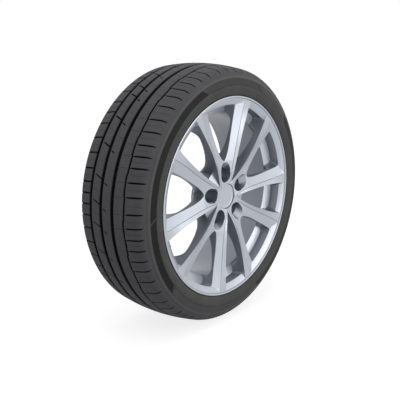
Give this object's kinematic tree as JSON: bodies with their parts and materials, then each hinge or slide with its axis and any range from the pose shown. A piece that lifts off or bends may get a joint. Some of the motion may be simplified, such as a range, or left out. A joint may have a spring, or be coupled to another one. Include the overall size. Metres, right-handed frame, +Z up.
{
  "type": "car tyre on alloy wheel",
  "caption": "Low-profile road tyre fitted on a cast alloy wheel with paired spokes, recessed bolt pockets, plain centre cap and snap-in valve, standing upright.",
  "frame": {"origin": "centre of the wheel, on the axle and midway between the rim flanges", "axes": "+Y along the axle towards the car, outboard face towards -Y, +Z up and +X to the right as seen from outboard"},
  "size_m": [0.6706, 0.23, 0.6706],
  "materials": {
    "tyre": "matte black rubber",
    "wheel": "silver paint with clear coat",
    "cap": "silver paint",
    "valve_rubber": "matte",
    "valve_brass": "plain",
    "valve_plastic": "matte"
  },
  "bodies": {
    "root": {"tyre": "tyre", "alloy_wheel": "wheel", "centre_cap": "cap", "valve_stem": "valve_rubber", "valve_core": "valve_brass", "valve_cap": "valve_plastic"}
  },
  "joints": []
}
